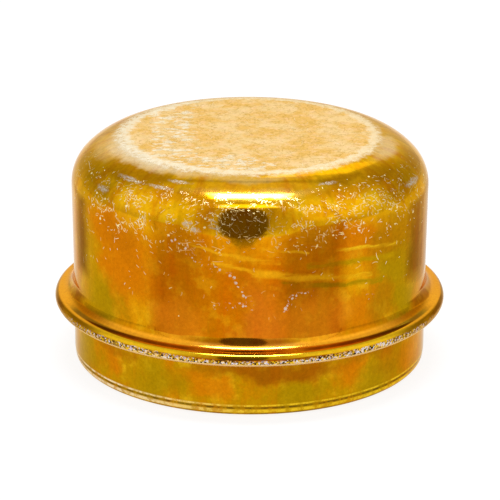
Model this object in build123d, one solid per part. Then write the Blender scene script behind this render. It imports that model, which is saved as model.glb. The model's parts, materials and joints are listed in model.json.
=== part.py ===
"""Hub grease cap: a drive-in cup pressed from one disc of plated steel sheet.

The cap is a turned shape, so the whole part is one section of bent sheet swept round the Z axis.
Millimetres, +Z up. The origin is the centre of the rim that the cap stands on.
"""
import os
from math import copysign, cos, radians, sin, sqrt

from build123d import *

# Sheet and overall size
SHEET = 0.9                 # steel sheet, the same all over
CREASE_RADIUS = 0.35        # a bend tighter than this is a crease, drawn as one flat facet
CAP_HEIGHT = 32.8           # rim to flat top

# Flat top and the shoulder that falls from it to the wall
FLAT_DIAMETER = 33.8
CROWN_RADIUS = 9.6          # outer bend beside the flat top
CROWN_SWEEP = 46.0          # degrees of turn in that bend
WALL_DIAMETER = 50.76       # widest place, where the shoulder meets the wall
WALL_LEAN = 0.7             # degrees by which the wall closes in towards the flange

# Stop flange: the sheet folded back on itself, which sits on the end of the hub
FLANGE_DIAMETER = 55.9
FLANGE_UNDERSIDE = 8.17     # height of the seating face above the rim
FOLD_GAP = 0.1              # slit left between the two layers
FILLET_RADIUS = 2.0         # outer bend from the wall out to the flange
ROOT_RADIUS = 0.3           # outer bend from the flange down to the skirt

# Skirt: the press fit in the hub's bore, with a turned-in rim that leads it in
SKIRT_DIAMETER = 50.44
LEAD_RADIUS = 2.0
LEAD_ANGLE = 6.0            # degrees of inward taper above the rim
LEAD_RUN = 0.7
RIM_RADIUS = 1.0
RIM_LAND = 0.3              # flat width that the cap stands on

# Worked out from the sizes above
FLAT_RADIUS = FLAT_DIAMETER / 2
WALL_RADIUS = WALL_DIAMETER / 2
SKIRT_RADIUS = SKIRT_DIAMETER / 2
FOLD_RADIUS = SHEET + FOLD_GAP / 2
crown = radians(CROWN_SWEEP)
lean = radians(WALL_LEAN)
lead = radians(LEAD_ANGLE)
KNUCKLE_RADIUS = (WALL_RADIUS - FLAT_RADIUS - CROWN_RADIUS * sin(crown)) / (1 - sin(crown))
LIP_HEIGHT = LEAD_RADIUS * sin(lead) + LEAD_RUN * cos(lead) + RIM_RADIUS * (1 - sin(lead))
SKIRT_RUN = FLANGE_UNDERSIDE - ROOT_RADIUS - LIP_HEIGHT


def wall_and_fold():
    """Length of the straight wall, and degrees of turn out into the flange.

    The fillet's circle touches the wall's line and the circle of the fold, so its centre is one bend
    radius outside the wall and the sum of the two radii away from the fold's centre.
    """
    outward = Vector(cos(lean), -sin(lean))
    downward = Vector(-sin(lean), -cos(lean))
    knuckle_z = CAP_HEIGHT - CROWN_RADIUS * (1 - cos(crown)) - KNUCKLE_RADIUS * cos(crown)
    wall_top = Vector(WALL_RADIUS - KNUCKLE_RADIUS, knuckle_z) + outward * KNUCKLE_RADIUS
    fold = Vector(FLANGE_DIAMETER / 2 - FOLD_RADIUS, FLANGE_UNDERSIDE + FOLD_RADIUS)
    offset = wall_top + outward * FILLET_RADIUS - fold
    along = offset.dot(downward)
    reach = FILLET_RADIUS + FOLD_RADIUS
    length = -along - sqrt(along**2 - offset.dot(offset) + reach**2)
    fold_to_fillet = offset + downward * length
    return length, outward.get_angle(fold_to_fillet)


WALL_RUN, FLARE_SWEEP = wall_and_fold()
FLANGE_RUN = FLANGE_DIAMETER / 2 - FOLD_RADIUS - ROOT_RADIUS - SKIRT_RADIUS

# The section, as a walk along the outer face from the axis to the rim. A straight run has a length.
# A bend has its radius on the outer face and its turn, clockwise being negative.
SECTION = [
    ("run", FLAT_RADIUS),
    ("bend", CROWN_RADIUS, -CROWN_SWEEP),
    ("bend", KNUCKLE_RADIUS, -(90 - CROWN_SWEEP + WALL_LEAN)),
    ("run", WALL_RUN),
    ("bend", FILLET_RADIUS, FLARE_SWEEP),
    ("bend", FOLD_RADIUS, -(FLARE_SWEEP - WALL_LEAN + 90)),
    ("run", FLANGE_RUN),
    ("bend", ROOT_RADIUS, 90),
    ("run", SKIRT_RUN),
    ("bend", LEAD_RADIUS, -LEAD_ANGLE),
    ("run", LEAD_RUN),
    ("bend", RIM_RADIUS, -(90 - LEAD_ANGLE)),
    ("run", RIM_LAND),
]


def sheet_face(depth):
    """Edges of the sheet's face that lies this far under its outer face, from the axis to the rim."""
    edges = []
    place = Vector(0, CAP_HEIGHT - depth)
    heading = Vector(1, 0)
    for kind, size, *turn in SECTION:
        if kind == "run":
            step = Line(place, place + heading * size)
            edge = step
        else:
            radius = size + copysign(depth, turn[0])
            step = JernArc(place, heading, radius, turn[0])
            edge = step if radius > CREASE_RADIUS else Line(step @ 0, step @ 1)
        edges.append(edge)
        place, heading = step @ 1, step % 1
    return edges


def grease_cap():
    """The folded cup, as one closed solid."""
    outside = sheet_face(0)
    inside = sheet_face(SHEET)
    on_axis = Line(outside[0] @ 0, inside[0] @ 0)
    trimmed_edge = Line(outside[-1] @ 1, inside[-1] @ 1)
    section = make_face([*outside, *inside, on_axis, trimmed_edge])
    return revolve(Plane.XZ * section, axis=Axis.Z)


os.makedirs("parts", exist_ok=True)
cap = grease_cap()
export_step(cap, "parts/grease_cap.step")
print("wall run", round(WALL_RUN, 3), "flare", round(FLARE_SWEEP, 2), "knuckle", round(KNUCKLE_RADIUS, 3))
print("volume", round(cap.volume, 1), "box", cap.bounding_box())
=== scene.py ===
"""Hub grease cap: a drive-in cup drawn from one disc of sheet steel, in worn yellow zinc plate.

The cap is a turned shape, so a node tree sweeps one section of bent sheet round the Z axis. The finish
is built from the plating outwards: gold with orange and olive clouds, a matte flat top, a worn ring and
hair scratches on the shoulder, and a rough, rubbed nose on the folded flange. Some of the colour is
painted light: shade on the flanks, under the flange, beside the scratches and along the rim, and
highlights and reflections along the flange, the rim and the front of the shoulder.
"""
import json
import math

import bpy
from bpy.props import FloatProperty, FloatVectorProperty, IntProperty, PointerProperty
from bpy.types import Operator, Panel, PropertyGroup
from mathutils import Matrix, Vector


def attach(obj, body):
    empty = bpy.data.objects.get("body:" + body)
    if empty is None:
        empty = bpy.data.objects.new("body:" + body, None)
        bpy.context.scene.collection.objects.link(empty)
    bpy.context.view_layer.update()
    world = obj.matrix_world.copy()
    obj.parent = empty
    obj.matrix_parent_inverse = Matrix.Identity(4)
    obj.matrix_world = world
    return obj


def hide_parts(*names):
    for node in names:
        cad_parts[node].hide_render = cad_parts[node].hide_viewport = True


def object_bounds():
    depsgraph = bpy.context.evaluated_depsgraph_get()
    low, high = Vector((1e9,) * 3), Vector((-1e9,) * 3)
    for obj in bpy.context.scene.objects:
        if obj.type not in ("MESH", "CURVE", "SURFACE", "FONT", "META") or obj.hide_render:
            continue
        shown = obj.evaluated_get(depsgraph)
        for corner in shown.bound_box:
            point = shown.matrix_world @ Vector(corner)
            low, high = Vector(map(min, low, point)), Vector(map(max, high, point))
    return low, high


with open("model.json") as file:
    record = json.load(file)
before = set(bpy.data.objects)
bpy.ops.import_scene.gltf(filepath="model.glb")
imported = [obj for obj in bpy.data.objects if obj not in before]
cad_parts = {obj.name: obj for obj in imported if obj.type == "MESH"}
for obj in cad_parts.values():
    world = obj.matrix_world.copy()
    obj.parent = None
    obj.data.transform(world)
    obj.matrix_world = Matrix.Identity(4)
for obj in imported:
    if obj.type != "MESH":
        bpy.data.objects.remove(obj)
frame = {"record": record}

bl_info = {
    "name": "Hub grease cap",
    "version": (1, 0, 0),
    "blender": (4, 5, 0),
    "location": "3D View > Sidebar > Grease Cap",
    "description": "Makes a drive-in hub grease cap in yellow zinc plate, and a plain studio round it",
    "category": "Object",
}

CAD_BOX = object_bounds()
CAD_NODE = "grease_cap"
BODY = "root"
MM = 0.001
FLAT_MM = 16.9              # radius of the flat top
ROUNDING_MM = 0.001         # keeps the rounded mesh under the top of the CAD box
MOUNTS = {mount["name"]: mount for mount in frame["record"]["mounts"]}


def length(name, description, default_mm):
    """A size property in metres, given here in millimetres."""
    return FloatProperty(name=name, description=description, default=default_mm * MM, min=0.0,
                         precision=5, unit="LENGTH", subtype="DISTANCE")


def angle(name, description, default_degrees):
    """An angle property."""
    return FloatProperty(name=name, description=description, default=math.radians(default_degrees),
                         unit="ROTATION", subtype="ANGLE")


def colour(name, description, default):
    """A linear colour property."""
    return FloatVectorProperty(name=name, description=description, default=default, size=3,
                               min=0.0, max=1.0, subtype="COLOR")


def number(name, description, default):
    """A plain number property."""
    return FloatProperty(name=name, description=description, default=default, min=0.0)


class CapSizes(PropertyGroup):
    """Sizes of the bent sheet, measured on its outer face."""
    height: length("Height", "Rim to flat top", CAD_BOX[1].z / MM - ROUNDING_MM)
    sheet: length("Sheet", "Thickness of the steel sheet", 0.9)
    flat_radius: length("Flat top radius", "Radius of the flat top", FLAT_MM)
    crown_radius: length("Crown radius", "Bend beside the flat top", 9.6)
    crown_sweep: angle("Crown sweep", "Turn of the bend beside the flat top", 46.0)
    wall_radius: length("Wall radius", "Widest place, where shoulder and wall meet", 25.38)
    wall_lean: angle("Wall lean", "How far the wall closes in towards the flange", 0.7)
    flange_radius: length("Flange radius", "Outer radius of the stop flange", CAD_BOX[1].x / MM)
    flange_underside: length("Flange underside", "Height of the seating face",
                             MOUNTS["stop_face"]["pos_m"][2] / MM)
    fold_gap: length("Fold gap", "Slit between the two layers of the flange", 0.1)
    fillet_radius: length("Fillet radius", "Bend from the wall out to the flange", 2.0)
    root_radius: length("Root radius", "Bend from the flange down to the skirt", 0.3)
    skirt_radius: length("Skirt radius", "Press fit in the bore", MOUNTS["skirt"]["dims"]["r_mm"])
    lead_radius: length("Lead radius", "Bend from the skirt into its taper", 2.0)
    lead_angle: angle("Lead angle", "Inward taper above the rim", 6.0)
    lead_run: length("Lead run", "Length of the taper", 0.7)
    rim_radius: length("Rim radius", "Bend that turns the rim in", 1.0)
    rim_land: length("Rim land", "Flat width that the cap stands on", 0.3)
    segments: IntProperty(name="Segments", description="Faces round the axis", default=540, min=32)
    waviness: length("Waviness", "How far the drawn sheet wanders inwards from a true circle", 0.035)


class CapFinish(PropertyGroup):
    """Colours of the plating, and of the shade and highlights painted into it, as linear values."""
    amber: colour("Amber", "Main tone of the wall", (0.58, 0.22, 0.001))
    gold: colour("Gold", "Main tone of the shoulder", (0.80, 0.41, 0.003))
    orange: colour("Orange", "Thicker plating", (0.60, 0.165, 0.001))
    olive: colour("Olive", "Greenish gold plating", (0.45, 0.25, 0.001))
    # Painted shade that darkens the flanks of the shoulder, the flange and the nose
    flank_shade: colour("Brown", "Dark gold on the flanks of the shoulder", (0.36, 0.145, 0.001))
    # Also a painted reflection and highlight in the bend and on the flanks of the flange
    flame: colour("Flame", "Bright orange in the bend over the flange", (1.0, 0.41, 0.018))
    # A plating tone on the wall, also painted shade under the flange and beside the deep scratches
    russet_and_shade: colour("Russet", "Dark orange under the flange", (0.31, 0.080, 0.001))
    green: colour("Green", "Green interference tint", (0.36, 0.21, 0.001))
    # Also a painted highlight on the nose and the foot of the flange at the front
    lemon: colour("Lemon", "Thin, bright plating", (0.80, 0.48, 0.010))
    rose: colour("Rose", "Pinkish interference tint", (0.66, 0.22, 0.020))
    lilac: colour("Lilac", "Bluish interference tint", (0.55, 0.46, 0.60))
    top_gold: colour("Top gold", "Flat top, under the rubbing", (0.93, 0.59, 0.17))
    cream: colour("Cream", "Flat top, rubbed matte", (1.0, 0.74, 0.37))
    top_rose: colour("Top rose", "Pinkish cloud on the flat top", (1.0, 0.69, 0.42))
    ring: colour("Ring", "Pinkish cream where the flat top turns over", (0.98, 0.84, 0.58))
    # Also a painted highlight at the front of the shoulder and of the flange, so the softbox shows white
    # there
    worn: colour("Worn", "Plating rubbed through to bright zinc", (1.0, 0.93, 0.76))
    zinc: colour("Zinc", "Dull bare zinc", (0.64, 0.56, 0.46))
    zinc_light: colour("Light zinc", "Bare zinc on a knocked edge", (0.76, 0.74, 0.78))
    scratch: colour("Scratch", "Floor of a fresh scratch", (1.0, 0.88, 0.46))
    nose: colour("Nose", "Rough nose of the flange", (0.36, 0.20, 0.03))
    nose_edge: colour("Nose edge", "Rubbed lower edge of the nose", (0.86, 0.60, 0.26))
    # Partly rubbing and partly a painted highlight along the rim
    rim_rub_and_highlight: colour("Rim gold", "Rubbed bands along the rim", (0.92, 0.60, 0.02))
    # Dirt in the pits of the nose, also painted shade in the foot of the flange at the sides and along the
    # rim
    pit_and_shade: colour("Pit", "Dirt in pits and nicks", (0.05, 0.028, 0.006))
    inside: colour("Inside", "Duller plating inside the cup", (0.52, 0.27, 0.020))
    edge: colour("Edge tint", "Tint of the metal at a glancing angle", (0.90, 0.76, 0.52))
    gloss_roughness: number("Gloss roughness", "Roughness of clean plating", 0.09)
    matte_roughness: number("Matte roughness", "Roughness of the rubbed flat top", 0.36)


class StudioSettings(PropertyGroup):
    """Camera, lamps and floor."""
    distance: length("Camera distance", "From the camera to the middle of the cap", 420.0)
    elevation: angle("Camera elevation", "Camera's height above the horizon", 19.49)
    roll: angle("Camera roll", "Lean of the camera about its own axis", 0.25)
    target_height: length("Target height", "Height of the point that the camera turns round", 16.0)
    aim_down: length("Aim down", "How far below that point the picture is centred", 0.631)
    aim_right: length("Aim right", "How far to the right of it the picture is centred", 0.043)
    focal: number("Focal length", "Camera lens, in millimetres on a 36 mm sensor", 210.94)
    floor_tone: colour("Floor", "Pale studio floor", (0.28, 0.28, 0.28))
    ambient: number("Ambient", "Light from the tent on matt surfaces", 0.60)
    floor_glow: number("Floor glow", "Extra white of the floor in the picture", 0.86)
    softbox: number("Softbox", "Brightness of the softbox overhead", 11.0)
    core: number("Core", "Brightness of the hot middle of the softbox", 48.0)
    back_strip: number("Back strip", "Brightness of the strip lamp behind", 0.55)
    patch: number("Patch", "Brightness of the patch over the camera", 2.4)
    camera_body: colour("Camera body", "Dark camera and stand in the opening", (0.14, 0.10, 0.05))
    slit: colour("Slit", "Dim slit that the camera looks through", (0.60, 0.52, 0.42))
    flag: colour("Flag", "Dim flags beside the cap", (0.52, 0.42, 0.46))
    jamb: colour("Jamb", "Dark edge of the opening", (0.50, 0.34, 0.20))


def new_object(name, data):
    """An object made from this data, in the scene."""
    made = bpy.data.objects.new(name, data)
    bpy.context.scene.collection.objects.link(made)
    return made


class NodeMaker:
    """Adds nodes to one tree. A socket given as a value is linked, and anything else is set."""

    def __init__(self, tree):
        self.nodes = tree.nodes
        self.links = tree.links

    def feed(self, socket, value):
        if isinstance(value, bpy.types.NodeSocket):
            self.links.new(value, socket)
        else:
            socket.default_value = value

    def add(self, kind, inputs=None, **settings):
        node = self.nodes.new(kind)
        for name, value in settings.items():
            setattr(node, name, value)
        for key, value in (inputs or {}).items():
            self.feed(node.inputs[key], value)
        return node

    def math(self, operation, *values):
        node = self.add("ShaderNodeMath", operation=operation)
        for socket, value in zip(node.inputs, values):
            self.feed(socket, value)
        return node.outputs["Value"]

    def chain(self, operation, first, *others):
        for other in others:
            first = self.math(operation, first, other)
        return first

    def product(self, *values):
        return self.chain("MULTIPLY", *values)

    def total(self, *values):
        return self.chain("ADD", *values)

    def most(self, *values):
        return self.chain("MAXIMUM", *values)

    def unsigned(self, value):
        return self.math("ABSOLUTE", value)

    def vector(self, operation, *values):
        node = self.add("ShaderNodeVectorMath", operation=operation)
        for socket, value in zip(node.inputs, values):
            self.feed(socket, value)
        return node.outputs["Value" if operation in ("LENGTH", "DOT_PRODUCT") else "Vector"]

    def joined(self, x, y, z=0.0):
        return self.add("ShaderNodeCombineXYZ", {"X": x, "Y": y, "Z": z}).outputs["Vector"]

    def parts(self, vector):
        return self.add("ShaderNodeSeparateXYZ", {"Vector": vector}).outputs

    def smooth(self, value, start, end):
        """0 at start and 1 at end, eased at both; start may be the larger."""
        node = self.add("ShaderNodeMapRange", {"Value": value, "From Min": start, "From Max": end},
                        interpolation_type="SMOOTHSTEP")
        return node.outputs["Result"]

    def between(self, value, low, high):
        """A plain rescale of 0..1 to low..high."""
        node = self.add("ShaderNodeMapRange", {"Value": value, "To Min": low, "To Max": high}, clamp=False)
        return node.outputs["Result"]

    def noise(self, vector, size, detail=3.0, roughness=0.55, squeeze=None):
        """Cloudy noise whose clouds are about this many millimetres across, drawn out where squeezed."""
        if squeeze:
            vector = self.vector("MULTIPLY", vector, squeeze)
        node = self.add("ShaderNodeTexNoise", {"Vector": vector, "Scale": 1.0 / size, "Detail": detail,
                                               "Roughness": roughness})
        return node.outputs["Fac"]

    def cells(self, vector, size):
        """Random mosaic: offset from the cell's centre, in millimetres, and the cell's random numbers."""
        node = self.add("ShaderNodeTexVoronoi", {"Vector": vector, "Scale": 1.0 / size},
                        voronoi_dimensions="2D")
        offset = self.vector("SUBTRACT", vector, node.outputs["Position"])
        chance = self.add("ShaderNodeSeparateColor", {"Color": node.outputs["Color"]}).outputs
        return offset, chance

    def palette(self, value, stops, interpolation="CONSTANT"):
        """Colour picked from a row of starts and colours."""
        node = self.add("ShaderNodeValToRGB", {"Fac": value})
        node.color_ramp.interpolation = interpolation
        for index, (start, tone) in enumerate(stops):
            stop = node.color_ramp.elements[index] if index < 2 else node.color_ramp.elements.new(start)
            stop.position = start
            stop.color = (*tone, 1.0)
        return node.outputs["Color"]

    def shaded(self, tone, level):
        """A colour made darker or lighter."""
        return self.add("ShaderNodeHueSaturation", {"Color": tone, "Value": level}).outputs["Color"]

    def tint(self, factor, base, top):
        """A colour mixed into another one by a factor."""
        node = self.add("ShaderNodeMix", data_type="RGBA")
        self.feed(node.inputs[0], factor)
        self.feed(node.inputs[6], base if isinstance(base, bpy.types.NodeSocket) else (*base, 1.0))
        self.feed(node.inputs[7], top if isinstance(top, bpy.types.NodeSocket) else (*top, 1.0))
        return node.outputs[2]

    def wash(self, tone, top, mask, strength):
        """A tone washed over with another one, at this strength where the mask is 1."""
        return self.tint(self.product(mask, strength), tone, top)


# The bent sheet

def wall_and_flare(sizes):
    """Length of the straight wall, and the turn out into the flange.

    The fillet touches the wall's line and the round nose of the fold, so its centre is one bend radius
    outside the wall and the sum of the two radii away from the centre of the fold.
    """
    fold = fold_radius(sizes)
    knuckle = knuckle_radius(sizes)
    outward = Vector((math.cos(sizes.wall_lean), -math.sin(sizes.wall_lean)))
    downward = Vector((-math.sin(sizes.wall_lean), -math.cos(sizes.wall_lean)))
    drop = sizes.crown_radius * (1 - math.cos(sizes.crown_sweep)) + knuckle * math.cos(sizes.crown_sweep)
    wall_top = Vector((sizes.wall_radius - knuckle, sizes.height - drop)) + outward * knuckle
    fold_centre = Vector((sizes.flange_radius - fold, sizes.flange_underside + fold))
    offset = wall_top + outward * sizes.fillet_radius - fold_centre
    along = offset.dot(downward)
    reach = sizes.fillet_radius + fold
    wall_run = -along - math.sqrt(along**2 - offset.dot(offset) + reach**2)
    return wall_run, outward.angle(offset + downward * wall_run)


def knuckle_radius(sizes):
    """Radius of the tighter bend between the crown and the wall."""
    sine = math.sin(sizes.crown_sweep)
    return (sizes.wall_radius - sizes.flat_radius - sizes.crown_radius * sine) / (1 - sine)


def fold_radius(sizes):
    """Outer radius of the flange's fold: one sheet and half the slit."""
    return sizes.sheet + sizes.fold_gap / 2


def section(sizes):
    """The section as runs and bends along the outer face, from the axis to the rim.

    Each entry has a length or a bend radius, a turn with clockwise negative, and the faces along it.
    """
    quarter = math.pi / 2
    fold = fold_radius(sizes)
    wall_run, flare = wall_and_flare(sizes)
    flange_run = sizes.flange_radius - fold - sizes.root_radius - sizes.skirt_radius
    sine, cosine = math.sin(sizes.lead_angle), math.cos(sizes.lead_angle)
    lip_height = sizes.lead_radius * sine + sizes.lead_run * cosine + sizes.rim_radius * (1 - sine)
    skirt_run = sizes.flange_underside - sizes.root_radius - lip_height
    return [
        (sizes.flat_radius, 0.0, 8),
        (sizes.crown_radius, -sizes.crown_sweep, 10),
        (knuckle_radius(sizes), -(quarter - sizes.crown_sweep + sizes.wall_lean), 11),
        (wall_run, 0.0, 7),
        (sizes.fillet_radius, flare, 12),
        (fold, -(flare - sizes.wall_lean + quarter), 20),
        (flange_run, 0.0, 2),
        (sizes.root_radius, quarter, 4),
        (skirt_run, 0.0, 4),
        (sizes.lead_radius, -sizes.lead_angle, 2),
        (sizes.lead_run, 0.0, 1),
        (sizes.rim_radius, -(quarter - sizes.lead_angle), 9),
        (sizes.rim_land, 0.0, 1),
    ]


def sheet_face(sizes, depth):
    """Points of the face that lies this far under the outer one, from the axis to the rim."""
    place = Vector((0.0, sizes.height - depth))
    heading = 0.0
    points = [place]
    for size, turn, faces in section(sizes):
        for _ in range(faces):
            if turn:
                radius = size + math.copysign(depth, turn)
                chord = 2 * radius * math.sin(abs(turn) / faces / 2)
            else:
                chord = size / faces
            heading += turn / faces / 2
            place = place + chord * Vector((math.cos(heading), math.sin(heading)))
            heading += turn / faces / 2
            points.append(place)
    return points


def section_mesh(sizes):
    """A wire along the whole section, out along the outer face and back along the inner one."""
    outer = sheet_face(sizes, 0.0)
    inner = sheet_face(sizes, sizes.sheet)
    points = outer + inner[::-1]
    run = [0.0]
    for before, after in zip(points, points[1:]):
        run.append(run[-1] + (after - before).length)
    mesh = bpy.data.meshes.new("section")
    edges = [(i, i + 1) for i in range(len(points) - 1)]
    mesh.from_pydata([(p.x, 0.0, p.y) for p in points], edges, [])
    along = mesh.attributes.new("along", "FLOAT", "POINT")
    along.data.foreach_set("value", [d / run[-1] for d in run])
    return mesh, len(points), len(outer)


SWEEP_INPUTS = (
    ("Section", "NodeSocketGeometry"),
    ("Rows", "NodeSocketInt"),
    ("Outer rows", "NodeSocketInt"),
    ("Segments", "NodeSocketInt"),
    ("Height", "NodeSocketFloat"),
    ("Waviness", "NodeSocketFloat"),
    ("Outside finish", "NodeSocketMaterial"),
    ("Inside finish", "NodeSocketMaterial"),
)
WAVE_LENGTH = 14.0          # millimetres between wanders of the drawn sheet
WELD = 1e-6                 # metres


def sweep_tree():
    """Node tree that sweeps a section round Z, with its seam at the back, and closes it."""
    tree = bpy.data.node_groups.new("swept sheet", "GeometryNodeTree")
    for name, kind in SWEEP_INPUTS:
        tree.interface.new_socket(name, in_out="INPUT", socket_type=kind)
    tree.interface.new_socket("Cap", in_out="OUTPUT", socket_type="NodeSocketGeometry")
    make = NodeMaker(tree)
    given = make.add("NodeGroupInput").outputs

    columns = make.total(given["Segments"], 1)
    grid = make.add("GeometryNodeMeshGrid", {"Size X": 1.0, "Size Y": 1.0, "Vertices X": columns,
                                             "Vertices Y": given["Rows"]})
    across, up, _ = make.parts(make.add("GeometryNodeInputPosition").outputs["Position"])
    last_row = make.math("SUBTRACT", given["Rows"], 1)
    row = make.math("ROUND", make.product(make.total(up, 0.5), last_row))

    def on_section(value, data_type):
        sample = make.add("GeometryNodeSampleIndex", data_type=data_type, domain="POINT")
        make.feed(sample.inputs["Geometry"], given["Section"])
        make.feed(sample.inputs["Value"], value)
        make.feed(sample.inputs["Index"], row)
        return sample.outputs["Value"]

    along = make.add("GeometryNodeInputNamedAttribute", {"Name": "along"}, data_type="FLOAT")
    unwrapped = make.joined(make.total(across, 0.5), on_section(along.outputs["Attribute"], "FLOAT"))

    def stored(geometry, name, value, data_type, domain):
        node = make.add("GeometryNodeStoreNamedAttribute", {"Geometry": geometry, "Name": name},
                        data_type=data_type, domain=domain)
        make.feed(node.inputs["Value"], value)
        return node.outputs["Geometry"]

    mapped = stored(grid.outputs["Mesh"], "OFBake", unwrapped, "FLOAT2", "CORNER")
    outside = make.math("LESS_THAN", row, make.math("SUBTRACT", given["Outer rows"], 0.5))
    sided = stored(mapped, "outside", outside, "FLOAT", "POINT")

    reach, _, level = make.parts(on_section(make.add("GeometryNodeInputPosition").outputs["Position"],
                                            "FLOAT_VECTOR"))
    turn = make.product(across, 2 * math.pi)
    sine = make.math("SINE", turn)
    forward = make.product(make.math("COSINE", turn), -1.0)
    placed = make.joined(make.product(reach, sine), make.product(reach, forward), level)
    wander = make.noise(placed, WAVE_LENGTH * MM, detail=1.0)
    share = make.math("MINIMUM", make.math("DIVIDE", reach, given["Height"]), 1.0)
    inward = make.product(wander, given["Waviness"], -1.0, share)
    radial = make.vector("MULTIPLY", make.joined(sine, forward), make.joined(inward, inward, inward))
    moved = {"Geometry": sided, "Position": make.vector("ADD", placed, radial)}
    swept = make.add("GeometryNodeSetPosition", moved).outputs["Geometry"]

    def passed_on(kind, geometry, **inputs):
        return make.add(kind, {"Geometry": geometry, **inputs}).outputs["Geometry"]

    closed = passed_on("GeometryNodeMergeByDistance", swept, Distance=WELD)
    turned = make.add("GeometryNodeFlipFaces", {"Mesh": closed}).outputs["Mesh"]
    soft = make.add("GeometryNodeSetShadeSmooth", {"Geometry": turned, "Shade Smooth": True})
    plated = passed_on("GeometryNodeSetMaterial", soft.outputs["Geometry"], Material=given["Inside finish"])
    side = make.add("GeometryNodeInputNamedAttribute", {"Name": "outside"}, data_type="FLOAT")
    is_outside = make.math("GREATER_THAN", side.outputs["Attribute"], 0.4)
    real = passed_on("GeometryNodeRealizeInstances", plated)
    finished = passed_on("GeometryNodeSetMaterial", real, Selection=is_outside,
                         Material=given["Outside finish"])
    make.add("NodeGroupOutput", {"Cap": finished})
    return tree


# The plating, with some painted shade and highlights

WALL_MM = 25.3              # radius used to lay azimuth out flat
NOSE_MM = 27.9              # radius of the flange's nose
NOSE_TOP_MM = 9.46          # heights of the rough band on the nose
NOSE_EDGE_MM = 8.70
FLANGE_MM = 26.6            # nothing but the flange is wider than this
SKIRT_TOP_MM = 8.3
TRACE_MM = 1e-6             # too small a shift to show

# Bands of painted light along the flange, by distance down: where each starts, is full, fades and is gone
BEND_BAND = (46.0, 47.0, 48.6, 49.2)
SHEEN_BAND = (46.6, 47.2, 50.3, 50.7)
FLANK_BAND = (48.0, 48.8, 50.0, 50.5)
FOOT_BAND = (48.7, 49.2, 49.6, 50.0)
NOSE_BAND = (49.7, 50.1, 51.0, 51.3)
GLINT_BAND = (49.7, 50.0, 50.2, 50.5)
UNDER_BAND = (50.3, 50.8, 60.0, 61.0)

# Edges of the gold, the rubbed ring and the scratched zones, by distance down: from none to full
GOLD_END = (38.0, 30.0)
RING_INNER = (16.6, 17.3)
RING_OUTER = (19.4, 18.0)
SHOULDER_TOP = (22.6, 26.0)
SHOULDER_END = (36.5, 31.0)
WALL_TOP = (30.0, 33.0)
WALL_END = (46.0, 38.0)
SCUFF = (-2.0, 29.4, 9.0, 2.6)      # azimuth, distance down, half width in degrees, half height

# Edges of the rubbed places on the flat top, by x or y: from none to full
TOP_LEFT, TOP_LEFT_END = (-5.0, -9.5), (-15.2, -13.2)
TOP_FRONT, TOP_FRONT_END = (-8.0, -11.5), (8.0, 0.0)

# Lines along the rim, rubbed and with a painted highlight, and painted shade lines: height above the rim
# and half width
RIM_RUB_AND_HIGHLIGHT = ((1.62, 0.18), (0.80, 0.34))
RIM_SHADE = ((1.28, 0.20), (0.30, 0.20))

HAIR_SPREAD = 0.3           # radians either side of the combed angle
HAIR_BOW = 0.45             # how far a hair's end bows out, as a share of its reach
RESHUFFLE = 17.0            # makes another random number from one

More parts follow.
